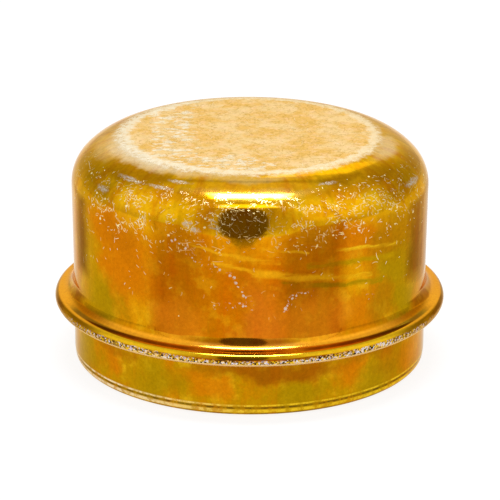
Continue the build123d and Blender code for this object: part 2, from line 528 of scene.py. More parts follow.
# Clouds of colour in the plating, by tone, in the order in which they lie on each other: azimuth in
# degrees, distance down from the middle of the top, half width in degrees, half height, strength. The
# clouds on the flanks and the dark orange ones under the flange are painted shade, and the pale one at
# the front of the shoulder is a painted highlight.
CLOUDS = {
    "orange": (
        (-42, 38, 12, 7.0, 0.85),
        (-50, 34, 13, 3.2, 0.90),
        (36, 33.6, 8, 2.8, 0.90),
        (34, 45.0, 7, 2.6, 0.70),
        (-28, 25.2, 9, 1.2, 0.40),
        (36, 25.2, 14, 1.4, 0.45),
        (118, 36, 16, 8.0, 0.55),
        (-128, 40, 22, 7.0, 0.55),
        (-52, 53, 6, 2.0, 0.75),
        (-18, 53, 7, 1.6, 0.70),
        (-12, 54.4, 7, 1.6, 0.75),
        (34, 53, 7, 2.0, 0.75),
        (62, 54, 8, 2.6, 0.75),
        (-148, 53, 12, 2.4, 0.50),
    ),
    "green": (
        (-54, 44.6, 9, 3.4, 0.90),
        (53, 39.6, 9, 4.0, 0.90),
        (58, 44.4, 8, 3.0, 0.95),
        (-150, 43, 13, 4.0, 0.55),
        (-64, 54, 9, 3.0, 0.75),
        (-30, 54, 9, 2.6, 0.75),
        (16, 55, 10, 2.2, 0.80),
        (46, 55, 9, 2.6, 0.75),
        (140, 54, 12, 2.6, 0.50),
    ),
    "olive": (
        (-64, 40, 7, 7.0, 0.60),
        (0, 25.4, 14, 1.0, 0.20),
        (148, 38, 14, 6.0, 0.55),
    ),
    "gold": (
        (-38, 45.0, 5, 2.4, 0.35),
        (35, 39.4, 6, 2.0, 0.40),
    ),
    # Painted shade on the flanks
    "flank_shade": (
        (-40, 22.4, 9, 1.4, 0.75),
        (-54, 23.2, 12, 2.2, 0.70),
        (-69, 26.0, 9, 3.6, 0.50),
        (-63, 30.0, 10, 2.4, 0.50),
        (-81, 27.5, 8, 4.5, 0.50),
        (38, 22.4, 10, 1.5, 0.80),
        (54, 23.2, 12, 2.2, 0.70),
        (68, 26.5, 9, 3.6, 0.50),
        (62, 30.5, 10, 2.4, 0.50),
        (80, 27.5, 8, 4.5, 0.65),
        (51, 34.0, 11, 3.4, 0.80),
        (46, 44.2, 6, 2.6, 0.65),
        (54, 53.4, 8, 2.6, 0.60),
    ),
    "flame": (
        (-23, 44.6, 8, 3.6, 0.45),
        (20, 44.6, 11, 3.8, 0.45),
        (3, 22.2, 18, 1.3, 0.35),
    ),
    "rose": (
        (3, 44, 7, 5.0, 0.45),
        (72, 55, 7, 3.5, 0.45),
    ),
    "ring": (
        (-58, 19.7, 32, 1.5, 0.60),
        (77, 20.0, 14, 1.8, 0.45),
    ),
    "cream": (
        (-78, 21.6, 12, 2.0, 0.40),
        (-5, 19.8, 22, 1.1, 0.25),
    ),
    "russet_and_shade": (
        (21, 33.8, 9, 2.8, 0.40),
        (-20, 33.4, 5, 2.4, 0.30),
        (-46, 34.5, 8, 2.4, 0.25),
        (17, 39.5, 7, 2.5, 0.30),
        # Painted shade under the flange
        (8, 51.4, 22, 1.5, 0.85),
        (-50, 51.2, 14, 0.8, 0.45),
        (44, 51.0, 12, 0.9, 0.50),
    ),
    # Painted highlight: paler where the softbox is mirrored at the front of the shoulder, so it shows white
    "worn": (
        (1, 24.1, 20, 1.1, 0.07),
    ),
}

# Streaks where the bath ran off, by tone: azimuth and distance down at both ends, and half width
STREAKS = {
    "green": (
        ((10, 38.7), (27, 39.7), 0.55),
        ((27, 39.7), (46, 40.6), 0.60),
    ),
    "olive": (
        ((18, 36.6), (50, 37.6), 0.70),
    ),
    "lemon": (
        ((-18, 33.4), (-5, 34.8), 0.36),
        ((-5, 34.8), (9, 35.8), 0.55),
        ((-11, 35.8), (1, 37.0), 0.40),
        ((1, 37.0), (15, 38.0), 0.80),
        ((15, 38.0), (27, 38.6), 0.70),
        ((27, 38.6), (41, 39.3), 0.45),
        ((4, 33.6), (18, 34.6), 0.30),
        ((29, 34.8), (53, 36.2), 0.40),
        ((-150, 35.0), (-120, 38.0), 0.50),
        ((118, 39.0), (150, 36.0), 0.50),
    ),
}

# Places rubbed through to dull zinc: azimuth in degrees, distance down, half width in degrees, half height
RUBBED = (
    (-47, 24.2, 5.5, 0.45),
    (-33, 24.2, 4.5, 0.35),
    (-27, 22.2, 4.0, 0.40),
    (-56, 28.2, 3.0, 0.60),
    (-20, 30.6, 1.2, 0.40),
    (-17, 31.4, 1.0, 0.35),
    (-11, 30.8, 1.6, 0.25),
    (67, 28.4, 5.0, 0.60),
    (29, 22.6, 3.5, 0.35),
    (112, 25.0, 5.0, 0.45),
    (-118, 26.0, 6.0, 0.50),
    (160, 24.0, 5.0, 0.40),
)

# Trails of chips left by one knock: azimuth and distance down at both ends
TRAILS = (
    ((-24, 33.2), (-15, 36.1)),
    ((-15, 36.1), (-5, 37.5)),
    ((-5, 37.5), (-2.4, 39.6)),
    ((-2.4, 39.6), (0.5, 42.0)),
    ((-12, 42.0), (0.5, 41.6)),
    ((11, 42.4), (13, 40.8)),
    ((13, 40.8), (20, 40.4)),
    ((40, 42.6), (42, 42.9)),
    ((140, 34.0), (165, 40.0)),
)


class Place:
    """Where a point of the surface is on the cap, in millimetres."""

    def __init__(self, make, height):
        coordinates = make.add("ShaderNodeTexCoord").outputs["Object"]
        self.point = make.vector("MULTIPLY", coordinates, (1 / MM,) * 3)
        self.x, self.y, self.z = make.parts(self.point)
        self.azimuth = make.math("ARCTAN2", self.x, make.product(self.y, -1.0))
        self.radius = make.vector("LENGTH", make.joined(self.x, self.y))
        self.down = make.total(self.radius, make.math("SUBTRACT", height, self.z))
        self.around = make.product(self.azimuth, WALL_MM)
        self.sheet = make.joined(self.around, self.down)
        self.plan = make.joined(self.x, self.y)


def laid_out(azimuth, down):
    """A place on the sheet laid flat, from its azimuth in degrees and its distance down."""
    return Vector((math.radians(azimuth) * WALL_MM, down, 0.0))


def spot(make, where, azimuth, down, half_width, half_height, soft=0.6):
    """Mask of a soft oval spot on the sheet."""
    offset = make.vector("SUBTRACT", where, laid_out(azimuth, down))
    reach = (math.radians(half_width) * WALL_MM, half_height, 1.0)
    distance = make.vector("LENGTH", make.vector("DIVIDE", offset, reach))
    return make.smooth(distance, 1.0 + soft / 2, 1.0 - soft / 2)


def stroke(make, where, start, end, half_width, soft=0.6):
    """Mask of a straight mark between two places on the sheet."""
    first, last = laid_out(*start), laid_out(*end)
    run = last - first
    offset = make.vector("SUBTRACT", where, first)
    along = make.math("DIVIDE", make.vector("DOT_PRODUCT", offset, run), run.length_squared)
    along = make.math("MINIMUM", make.most(along, 0.0), 1.0)
    nearest = make.vector("MULTIPLY", make.joined(along, along, along), run)
    distance = make.vector("LENGTH", make.vector("SUBTRACT", offset, nearest))
    return make.smooth(distance, half_width, (1.0 - soft) * half_width)


def strongest(make, masks):
    """The largest of several masks, each taken in as it is made."""
    top = None
    for mask in masks:
        top = mask if top is None else make.most(top, mask)
    return top


def shaken(make, where, size, amount, shift=0.0):
    """The same place, moved about by noise, so that an edge drawn there is ragged."""
    shifted = make.vector("ADD", where, (shift, shift, shift))
    node = make.add("ShaderNodeTexNoise", {"Vector": shifted, "Scale": 1.0 / size, "Detail": 4.0,
                                           "Roughness": 0.6})
    moved = make.vector("SUBTRACT", node.outputs["Color"], (0.5, 0.5, 0.5))
    return make.vector("ADD", where, make.vector("MULTIPLY", moved, (*amount, 0.0)))


def hairs(make, where, cell, reach, width, share, combed=None):
    """Mask of fine bowed hair scratches, in a share of the cells of a mosaic, each of its own strength.

    They lie every way, or close to the combed angle where one is given. Each layer needs its own cell size.
    """
    offset, chance = make.cells(where, cell)
    if combed is None:
        turn = make.between(chance["Red"], 0.0, 2 * math.pi)
    else:
        turn = make.total(combed, make.between(chance["Red"], -HAIR_SPREAD, HAIR_SPREAD))
    turned = make.add("ShaderNodeVectorRotate", {"Vector": offset, "Angle": turn}, rotation_type="Z_AXIS")
    along, across, _ = make.parts(turned.outputs["Vector"])
    bow = make.between(chance["Green"], -HAIR_BOW / reach, HAIR_BOW / reach)
    bent = make.total(across, make.product(bow, along, along))
    half = make.product(make.between(chance["Green"], 0.5, 1.0), reach)
    line = make.smooth(make.unsigned(bent), width, 0.3 * width)
    ends = make.smooth(make.math("DIVIDE", make.unsigned(along), half), 1.0, 0.55)
    kept = make.math("LESS_THAN", chance["Blue"], share)
    again = make.math("FRACT", make.product(chance["Blue"], RESHUFFLE))
    strength = make.between(again, 0.25, 1.0)
    return make.product(line, ends, kept, strength)


def hair_layers(make, where, layers, share, before=None):
    """Mask of several layers of hair scratches, each with its cell size, reach, width and combed angle.

    A layer is laid a trace off by the ones before it, so that the shader works them out in turn: all at
    once they would not fit in its memory.
    """
    top = before
    drawn = None
    for cell, reach, width, combed in layers:
        if top is not None:
            trace = make.product(top, TRACE_MM)
            where = make.vector("ADD", where, make.joined(trace, trace))
        top = hairs(make, where, cell, reach, width, share, combed)
        drawn = top if drawn is None else make.most(drawn, top)
    return drawn


def chips(make, where, cell, size, share, shift):
    """Mask of small ragged chips, in a share of the cells of a mosaic."""
    offset, chance = make.cells(shaken(make, where, 0.6, (2.0 * size, 2.0 * size), shift), cell)
    radius = make.product(make.total(chance["Red"], 0.30), size)
    inside = make.smooth(make.math("SUBTRACT", make.vector("LENGTH", offset), radius), 0.3 * size, 0.0)
    return make.product(inside, make.math("LESS_THAN", chance["Blue"], share))


def sideways(make, place):
    """0 at the front and the back of the cap, and 1 at its sides."""
    return make.unsigned(make.math("SINE", place.azimuth))


def flange_bands(make, place, finish, tone):
    """Painted light along the flange: a flame reflection in the bend, a shade line or highlight at its
    foot, a lemon highlight or dark shade on the nose, glints and sheen, and dark shade under it at the
    sides.
    """
    wide = make.smooth(place.radius, WALL_MM + 0.2, WALL_MM + 0.5)
    turned = sideways(make, place)
    side = make.smooth(turned, 0.70, 0.88)
    flank = make.smooth(turned, 0.90, 0.98)
    front = make.smooth(make.unsigned(place.azimuth), math.radians(20), math.radians(11))

    def band(rise, full, fade, gone):
        return make.product(wide, make.smooth(place.down, rise, full), make.smooth(place.down, gone, fade))

    # Painted reflection: bright flame in the bend, orange at the sides
    bend = make.product(band(*BEND_BAND), make.between(flank, 0.85, 0.0))
    tone = make.tint(bend, tone, make.tint(side, finish.flame, finish.orange))
    # Painted highlight at the front and painted shade line at the sides, in the foot of the bend
    foot = make.product(band(*FOOT_BAND), make.between(flank, 0.65, 0.0))
    tone = make.tint(foot, tone, make.tint(front, finish.pit_and_shade, finish.lemon))
    # Painted highlight on the nose at the front, painted shade at the sides
    nose = make.product(band(*NOSE_BAND), 0.85)
    tone = make.tint(nose, tone, make.tint(side, finish.lemon, finish.flank_shade))
    # Painted glints beside the nose and along the flanks
    tone = make.tint(make.product(band(*GLINT_BAND), side, 0.75), tone, finish.flame)
    tone = make.tint(make.product(band(*FLANK_BAND), flank), tone, finish.flame)
    # Painted highlight: paler at the front of the flange, so the softbox shows white there
    tone = make.tint(make.product(band(*SHEEN_BAND), front, 0.035), tone, finish.worn)
    # Painted shade under the flange at the sides
    return make.tint(make.product(band(*UNDER_BAND), side, 0.8), tone, finish.flank_shade)


def cloudy_plating(make, place, finish):
    """Amber wall, gold shoulder and olive skirt, with clouds of thicker and thinner plating, and shade and
    highlights painted on the flanks, the flange and under it.
    """
    tone = make.tint(make.smooth(place.down, *GOLD_END), finish.amber, finish.gold)
    low = make.product(make.smooth(place.z, SKIRT_TOP_MM, SKIRT_TOP_MM - 0.4),
                       make.smooth(place.radius, FLANGE_MM, FLANGE_MM - 0.4))
    tone = make.wash(tone, finish.olive, low, 0.7)
    banded = make.noise(place.sheet, 2.6, detail=4.0, roughness=0.6, squeeze=(1.0, 0.16, 1.0))
    tone = make.wash(tone, finish.orange, make.smooth(banded, 0.50, 0.66), 0.55)
    tone = make.wash(tone, finish.olive, make.smooth(banded, 0.46, 0.34), 0.45)
    mottled = make.noise(place.point, 3.0, detail=5.0, roughness=0.6)
    tone = make.wash(tone, finish.lemon, make.smooth(mottled, 0.50, 0.64), 0.40)
    tone = make.wash(tone, finish.orange, make.smooth(mottled, 0.47, 0.34), 0.35)
    where = shaken(make, place.sheet, 5.0, (9.0, 5.0))
    for name, clouds in CLOUDS.items():
        mask = strongest(make, (make.product(spot(make, where, *shape, soft=1.1), strength)
                                for *shape, strength in clouds))
        tone = make.tint(mask, tone, getattr(finish, name))
    wavering = shaken(make, place.sheet, 4.0, (4.0, 1.2), 17.0)
    flowing = make.noise(wavering, 1.1, detail=4.0, roughness=0.6, squeeze=(0.12, 1.0, 1.0))
    flowing = make.between(make.smooth(flowing, 0.40, 0.54), 0.20, 0.92)
    for name, streaks in STREAKS.items():
        ran = strongest(make, (stroke(make, wavering, *ends, soft=0.8) for ends in streaks))
        tone = make.wash(tone, getattr(finish, name), ran, flowing)
    # Painted light along the flange
    tone = flange_bands(make, place, finish, tone)
    fine = make.noise(place.sheet, 0.5, squeeze=(1.0, 0.06, 1.0))
    grain = make.noise(place.point, 0.5, detail=4.0, roughness=0.7)
    shade = make.total(make.between(fine, -0.07, 0.07), make.between(grain, 0.68, 1.32))
    return make.shaded(tone, shade)


class Wear:
    """Masks of the wear on the outer face, and of the shade and highlight lines painted beside the
    scratches and along the rim, which colour, roughness and relief all read.
    """

    def __init__(self, make, place):
        self.grain = make.noise(place.point, 1.1, detail=5.0, roughness=0.7)
        self.mottle = make.noise(place.plan, 1.6, detail=7.0, roughness=0.72)
        # The left side, where the cap is rubbed most
        self.left = make.product(make.smooth(place.azimuth, 0.1, -1.1),
                                 make.smooth(place.azimuth, -3.0, -2.2))
        uneven = make.total(make.between(self.grain, -1.0, 1.0), make.between(self.mottle, -1.4, 1.4))
        self.top = make.smooth(place.radius, FLAT_MM + 1.6, FLAT_MM + 0.8)
        self.add_ring(make, place, uneven)
        self.add_hairs(make, place)
        self.add_knocks(make, place)
        self.add_nose(make, place)
        self.add_rim(make, place)

    def add_ring(self, make, place, uneven):
        """Rubbed ring where the flat top turns over, widest at the left."""
        reach = make.total(place.down, uneven)
        outer = make.math("SUBTRACT", reach, make.product(self.left, 0.7))
        band = make.product(make.smooth(reach, *RING_INNER), make.smooth(outer, *RING_OUTER))
        patchy = make.smooth(make.noise(place.point, 0.8, detail=5.0, roughness=0.7), 0.30, 0.60)
        self.ring = make.product(band, make.between(patchy, 0.35, 1.0))

    def add_hairs(self, make, place):
        """Fine scratches, thick over the shoulder and the top of the wall, few below, and a painted shadow
        beside each deep one.
        """
        shoulder = make.product(make.smooth(place.down, *SHOULDER_TOP),
                                make.smooth(place.down, *SHOULDER_END))
        busy = make.smooth(make.noise(place.sheet, 3.0, detail=4.0, roughness=0.6), 0.43, 0.62)
        below = make.product(make.smooth(place.down, *WALL_TOP), make.smooth(place.down, *WALL_END), 0.06)
        facing = make.between(make.smooth(sideways(make, place), 0.95, 0.70), 0.35, 1.0)
        dense = make.most(make.product(shoulder, make.between(busy, 0.05, 0.75), facing),
                          make.product(below, busy))
        dense = make.most(dense, make.product(spot(make, place.sheet, *SCUFF), 0.50))
        way = make.between(make.noise(place.sheet, 6.0, detail=1.0), -3.0, 6.0)
        level = make.between(make.noise(place.sheet, 9.0, detail=1.0), -0.6, 0.6)
        # Cell size, reach and width in millimetres, and combed angle
        deep = ((0.72, 0.38, 0.092, None), (1.05, 0.62, 0.080, None), (0.66, 0.42, 0.082, way))
        fine = ((1.50, 0.95, 0.060, None), (2.10, 1.30, 0.050, None), (2.80, 1.90, 0.048, level))
        self.hairs = hair_layers(make, place.sheet, deep + fine, dense)
        # Painted shadow: a copy of the deep scratches, a little off, which the colour darkens beside each
        # one
        beside = make.vector("ADD", place.sheet, (0.06, -0.10, 0.0))
        self.scratch_shadows = hair_layers(make, beside, deep, dense, self.hairs)
        self.chips = chips(make, place.sheet, 0.85, 0.14, make.product(dense, 0.30), 5.0)

    def add_knocks(self, make, place):
        """Trails of chips, and places rubbed through to zinc."""
        loose = shaken(make, place.sheet, 1.2, (1.2, 1.2), 9.0)
        trail = strongest(make, (stroke(make, loose, *ends, 0.50) for ends in TRAILS))
        beads = make.most(chips(make, place.sheet, 0.62, 0.17, 0.60, 31.0),
                          hairs(make, place.sheet, 0.60, 0.30, 0.05, 0.5))
        self.trail = make.product(trail, beads)
        ragged = shaken(make, place.sheet, 0.8, (2.6, 1.2), 3.0)
        torn = make.smooth(make.noise(place.sheet, 0.35, detail=4.0, roughness=0.7), 0.38, 0.56)
        self.rubbed = make.product(torn, strongest(
            make, (spot(make, ragged, *where, soft=0.9) for where in RUBBED)))

    def add_nose(self, make, place):
        """Rough band and rubbed lower edge of the flange's nose."""
        wide = make.smooth(place.radius, FLANGE_MM, FLANGE_MM + 0.3)
        front = make.smooth(make.unsigned(place.azimuth), 0.50, 0.15)
        narrowed = make.product(front, 0.18)
        wavy = make.total(narrowed, make.total(place.z, make.between(self.grain, -0.28, 0.28)))
        crusted = make.between(make.smooth(sideways(make, place), 0.95, 0.84), 0.12, 1.0)
        low, high = NOSE_EDGE_MM - 0.05, NOSE_EDGE_MM + 0.05
        self.nose = make.product(wide, crusted, make.smooth(wavy, NOSE_TOP_MM + 0.07, NOSE_TOP_MM - 0.07),
                                 make.smooth(place.z, low, high))
        self.nose_edge = make.product(wide, crusted, make.smooth(place.z, high, low))
        laid = make.joined(make.product(place.azimuth, NOSE_MM), place.z)
        _, chance = make.cells(shaken(make, laid, 0.25, (0.25, 0.25), 21.0), 0.20)
        self.crumb = chance["Red"]
        self.crumb_height = chance["Green"]

    def add_rim(self, make, place):
        """Lines along the rim: two rubbed bands that also hold a painted highlight, with painted shade
        lines between them and on the standing edge.
        """
        low = make.smooth(place.radius, FLANGE_MM, FLANGE_MM - 0.4)
        height = make.total(place.z, make.between(self.grain, -0.10, 0.10))

        def line(middle, half):
            distance = make.unsigned(make.math("SUBTRACT", height, middle))
            return make.product(low, make.smooth(distance, half, 0.4 * half))

        broken = make.between(make.smooth(self.grain, 0.40, 0.58), 0.25, 1.0)
        # Rubbed bands, partly painted highlight
        self.rim = make.product(make.most(*[line(*where) for where in RIM_RUB_AND_HIGHLIGHT]), broken)
        # Painted shade lines
        self.rim_shade_lines = make.product(make.most(*[line(*where) for where in RIM_SHADE]), broken)


def flat_top(make, place, finish, wear):
    """Colour of the flat top: matte cream gold in soft clouds, with pale rubbed streaks at the left."""
    cloud = make.noise(make.vector("ADD", place.plan, (30.0, 0.0, 0.0)), 5.0, detail=5.0, roughness=0.6)
    tone = make.tint(make.smooth(cloud, 0.42, 0.60), finish.top_gold, finish.cream)
    tone = make.wash(tone, finish.top_rose, make.smooth(wear.mottle, 0.48, 0.66), 0.65)
    tone = make.wash(tone, finish.lemon, make.smooth(wear.mottle, 0.46, 0.34), 0.35)
    left = make.product(make.smooth(place.x, *TOP_LEFT), make.smooth(place.x, *TOP_LEFT_END))
    front = make.product(make.smooth(place.y, *TOP_FRONT), make.smooth(place.x, *TOP_FRONT_END))
    rubbed = make.product(make.most(left, front), 0.16)
    streaky = make.noise(place.plan, 1.2, detail=6.0, roughness=0.7, squeeze=(0.55, 1.0, 1.0))
    pale = make.smooth(make.total(streaky, rubbed), 0.64, 0.73)
    tone = make.wash(tone, finish.worn, pale, 0.90)
    veined = make.noise(make.vector("ADD", place.plan, (0.0, 40.0, 0.0)), 1.8, detail=4.0, roughness=0.6)
    vein = make.smooth(make.unsigned(make.math("SUBTRACT", veined, 0.5)), 0.022, 0.004)
    tone = make.wash(tone, finish.olive, vein, 0.45)
    grain = make.noise(place.plan, 0.40, detail=4.0, roughness=0.7)
    tone = make.shaded(tone, make.between(grain, 0.78, 1.22))
    dark = hair_layers(make, place.plan, ((1.3, 0.9, 0.05, None), (3.2, 2.6, 0.05, None)), 0.40, wear.scratch_shadows)
    tone = make.wash(tone, finish.olive, dark, 0.40)
    bright = hair_layers(make, place.plan, ((1.7, 1.1, 0.05, None),), 0.45, dark)
    return make.wash(tone, finish.worn, bright, 0.7)


def rough_nose(make, place, finish, wear):
    """Colour of the rough nose: a crust of dark pits, zinc and plating, with painted shade at the sides."""
    crumbs = ((0.0, finish.pit_and_shade), (0.18, finish.nose), (0.48, finish.lemon), (0.66, finish.nose_edge),
              (0.80, finish.zinc_light), (0.93, finish.lilac))
    crust = make.palette(wear.crumb, crumbs)
    side = sideways(make, place)
    return make.wash(crust, finish.flank_shade, make.smooth(side, 0.55, 0.90), 0.45)


def outside_tone(make, place, finish, wear):
    """Colour of the outer face, from the plating up to the last scratch."""
    tone = cloudy_plating(make, place, finish)
    tone = make.tint(wear.top, tone, flat_top(make, place, finish, wear))
    tone = make.tint(wear.ring, tone, make.tint(wear.left, finish.ring, finish.worn))
    # Painted shadow beside the deep scratches
    tone = make.wash(tone, finish.russet_and_shade, wear.scratch_shadows, 0.50)
    tone = make.wash(tone, finish.zinc, wear.rubbed, 0.90)
    bright = make.tint(make.smooth(wear.grain, 0.48, 0.64), finish.scratch, finish.worn)
    tone = make.wash(tone, bright, make.most(wear.chips, wear.hairs), 0.92)
    tone = make.wash(tone, finish.zinc_light, wear.trail, 0.85)
    tone = make.tint(wear.nose_edge, tone, finish.nose_edge)
    tone = make.tint(wear.nose, tone, rough_nose(make, place, finish, wear))
    # Rubbed bands along the rim, partly painted highlight
    lit_rubbed_rim = make.product(wear.rim, 0.85)
    tone = make.tint(lit_rubbed_rim, tone, make.tint(wear.left, finish.rim_rub_and_highlight, finish.ring))
    # Painted shade lines along the rim
    return make.wash(tone, finish.pit_and_shade, wear.rim_shade_lines, 0.70)


def outside_roughness(make, place, finish, wear):
    """Glossy plating, with matte places where it is rubbed."""
    smear = make.noise(place.point, 2.2, detail=5.0, roughness=0.65)
    gloss = make.between(smear, finish.gloss_roughness - 0.04, finish.gloss_roughness + 0.06)
    matte = make.between(wear.mottle, finish.matte_roughness - 0.12, finish.matte_roughness + 0.12)
    node = make.add("ShaderNodeMix", data_type="FLOAT")
    make.feed(node.inputs[0], make.most(wear.top, wear.ring))
    make.feed(node.inputs[2], gloss)
    make.feed(node.inputs[3], matte)
    dull = make.product(make.most(wear.rubbed, wear.nose, wear.rim), 0.6)
    worn = make.most(wear.hairs, wear.chips, wear.trail, wear.nose_edge, dull)
    return make.total(node.outputs[0], make.product(worn, 0.32))


def outside_relief(make, place, wear):
    """Height of the fine relief, in units of the bump's own distance."""
    fine = make.product(make.noise(place.point, 0.25, detail=3.0), 0.05)
    crumbs = make.product(wear.crumb_height, wear.nose, 1.2)
    return make.total(fine, crumbs)


def new_material(name):
    """An empty node material, and the maker of its nodes."""
    material = bpy.data.materials.new(name)
    material.use_nodes = True
    material.node_tree.nodes.clear()
    return material, NodeMaker(material.node_tree)


RELIEF_STEP = 0.05 * MM     # height of a relief of 1


def metal_surface(make, tone, roughness, relief, strength, finish):
    """Bare metal shader with this colour, roughness and relief."""
    bump = make.add("ShaderNodeBump", {"Strength": strength, "Distance": RELIEF_STEP, "Height": relief})
    shader = make.add("ShaderNodeBsdfPrincipled", {
        "Base Color": tone, "Metallic": 1.0, "Roughness": roughness, "Normal": bump.outputs["Normal"],
        "Specular Tint": (*finish.edge, 1.0)})
    make.add("ShaderNodeOutputMaterial", {"Surface": shader.outputs["BSDF"]})


def outside_finish(finish, height):
    """Worn yellow zinc plate on the outer face."""
    material, make = new_material("yellow_zinc_outside")
    place = Place(make, height / MM)
    wear = Wear(make, place)
    tone = outside_tone(make, place, finish, wear)
    roughness = outside_roughness(make, place, finish, wear)
    metal_surface(make, tone, roughness, outside_relief(make, place, wear), 0.6, finish)
    return material


def inside_finish(finish, height):
    """Duller plating inside the cup, with faint draw marks down the wall."""
    material, make = new_material("yellow_zinc_inside")
    place = Place(make, height / MM)
    clouds = make.noise(place.point, 8.0, detail=4.0)
    tone = make.tint(make.smooth(clouds, 0.40, 0.68), finish.inside, finish.orange)
    drawn = make.noise(place.sheet, 0.8, squeeze=(1.0, 0.05, 1.0))
    tone = make.shaded(tone, make.between(drawn, 0.75, 1.15))
    metal_surface(make, tone, make.between(clouds, 0.24, 0.46), drawn, 0.3, finish)
    return material


# The studio

# Brightness of the white tent by direction: where it faces, cosines at the spot's edge and middle, and
# how much is added there. The back and the sides in front are lit, and the back corners are dim.
TENT_SPOTS = (
    ((0.0, 0.93, 0.36), 0.70, 0.95, 0.14),
    ((-0.78, -0.22, 0.58), 0.80, 0.97, 0.32),
    ((0.72, -0.32, 0.62), 0.80, 0.97, 0.42),
    ((-0.78, 0.58, 0.24), 0.82, 0.98, -0.30),
    ((0.78, 0.58, 0.24), 0.82, 0.98, -0.30),
)
SEAM_LOW, SEAM_HIGH = 0.815, 0.865      # sines of the elevations of the dim seam over the back wall
SEAM_SOFT = 0.012
SEAM_DEPTH = -0.30
DIMMEST = 0.35              # no part of the tent is darker

# Cards that show only in the metal, in millimetres. The warm opening at the front runs on over the floor to
# the cap, and its tone goes by azimuth, as the wall mirrors it, in degrees.
OPENING_Y = -58.0
OPENING_HEIGHT = 30.0
OPENING_STEPS = 70
OPENING_TONES = (
    (-34.0, (1.0, 0.96, 0.92)),
    (-31.5, (0.88, 0.70, 0.54)),
    (-29.5, (0.73, 0.51, 0.35)),
    (-20.0, (0.78, 0.58, 0.38)),
    (-15.0, (0.92, 0.69, 0.46)),
    (-7.0, (1.02, 0.76, 0.48)),
    (-2.0, (0.98, 0.71, 0.48)),
    (6.0, (1.08, 0.80, 0.56)),
    (10.0, (0.90, 0.65, 0.43)),
    (13.0, (0.70, 0.50, 0.34)),
    (24.0, (0.72, 0.55, 0.34)),
    (28.8, (0.70, 0.49, 0.33)),
    (30.6, (0.88, 0.72, 0.56)),
    (32.5, (1.0, 0.96, 0.92)),
)
MAT_START = 26.0            # from the wall
MAT_HEIGHT = 0.02           # over the floor
SOFT_RINGS = 4              # nested cards that give a dim card a soft edge

# How far each card stands in front of the opening, the nearest one hiding the rest
JAMB_AHEAD, SLIT_AHEAD, CAMERA_AHEAD, PATCH_AHEAD = 0.4, 0.9, 1.2, 1.4
SLIT_RING_GAP = 0.2
CAMERA_EDGE_GAP = 0.3       # for each millimetre of the camera's soft edge

# Dim slit over the opening: sides, and what each ring adds to them
SLIT_LEFT, SLIT_LEFT_STEP = -28.0, -6.5
SLIT_RIGHT, SLIT_RIGHT_STEP = 22.0, 4.0
SLIT_MIDDLE = 110.0         # height
SLIT_HALF, SLIT_HALF_STEP = 84.0, 3.0
JAMBS = {"jamb_left": -79.0, "jamb_right": 73.0}
JAMB_HALF = 1.6
JAMB_LOW, JAMB_HIGH = 2.0, 330.0
CAMERA_X, CAMERA_Z = -3.4, 58.0
CAMERA_HALF_WIDTH, CAMERA_HALF_HEIGHT = 13.4, 43.0
CAMERA_EDGE = 2.2           # soft edge round the dark camera
PATCH = (-29.0, 25.0, 110.0, 150.0)     # left, right, low, high
PATCH_TONE = (1.0, 0.95, 0.80)

# Hot middle of the softbox: share of its brightness in each ring, half sizes and what each ring adds
CORE_SHARES = (1.0, 0.5, 0.2)
CORE_HALF_WIDTH, CORE_WIDTH_STEP = 116.0, 8.0
CORE_HALF_DEPTH, CORE_DEPTH_STEP = 22.0, 6.0
CORE_Y, CORE_Z = -20.0, 632.0

# Side flags: side, azimuths where the wall starts and stops mirroring the dark middle, and degrees of
# fade of each ring towards the back
FLAGS = {
    "flag_left": (-1, 67.5, 71.5, 1.6),
    "flag_right": (1, 64.0, 71.0, 4.6),
}
FLAG_FADE = 1.3             # degrees of fade of each ring towards the front
FLAG_LOW, FLAG_HIGH = 6.0, 17.0
FLAG_AWAY, FLAG_SPACING = 27.0, 1.6

# Lamps and floor, in metres. Each lamp has its place, target, width and depth.
LAMPS = {
    "softbox": ((0.0, -0.02, 0.64), (0.0, -0.02, 0.0), 0.32, 0.11),
    "back_strip": ((0.12, 0.45, 0.43), (0.0, 0.0, 0.033), 0.20, 0.15),
}
FLOOR_HALF = 3.0
FLOOR_Z = -0.02 * MM        # a hair under the rim


def glow_material(name, tone, strength=1.0):
    """An even glow, for a card that only shows in reflections."""
    material, make = new_material(name)
    glow = make.add("ShaderNodeEmission", {"Color": (*tone, 1.0), "Strength": strength})
    make.add("ShaderNodeOutputMaterial", {"Surface": glow.outputs["Emission"]})
    return material


def opening_material():
    """Glow of the opening, by the azimuth kept in the card's own map."""
    material, make = new_material("opening_glow")
    first, last = OPENING_TONES[0][0], OPENING_TONES[-1][0]
    across = make.parts(make.add("ShaderNodeTexCoord").outputs["UV"])["X"]
    stops = [((azimuth - first) / (last - first), tone) for azimuth, tone in OPENING_TONES]
    glow = make.add("ShaderNodeEmission", {"Color": make.palette(across, stops, "LINEAR")})
    make.add("ShaderNodeOutputMaterial", {"Surface": glow.outputs["Emission"]})
    return material


def seen_directly(make):
    """1 for rays that show a thing itself: straight to the camera, or by way of gloss or glass."""
    path = make.add("ShaderNodeLightPath").outputs
    shown = make.most(path["Is Camera Ray"], path["Is Glossy Ray"])
    return make.most(shown, path["Is Transmission Ray"])


def floor_material(studio):
    """Pale matt floor, lifted towards white where it is seen."""
    material, make = new_material("pale_floor")
    matt = make.add("ShaderNodeBsdfDiffuse", {"Color": (*studio.floor_tone, 1.0)})
    lift = make.product(seen_directly(make), studio.floor_glow)
    glow = make.add("ShaderNodeEmission", {"Strength": lift})
    both = make.add("ShaderNodeAddShader")
    make.feed(both.inputs[0], matt.outputs["BSDF"])
    make.feed(both.inputs[1], glow.outputs["Emission"])
    make.add("ShaderNodeOutputMaterial", {"Surface": both.outputs["Shader"]})
    return material


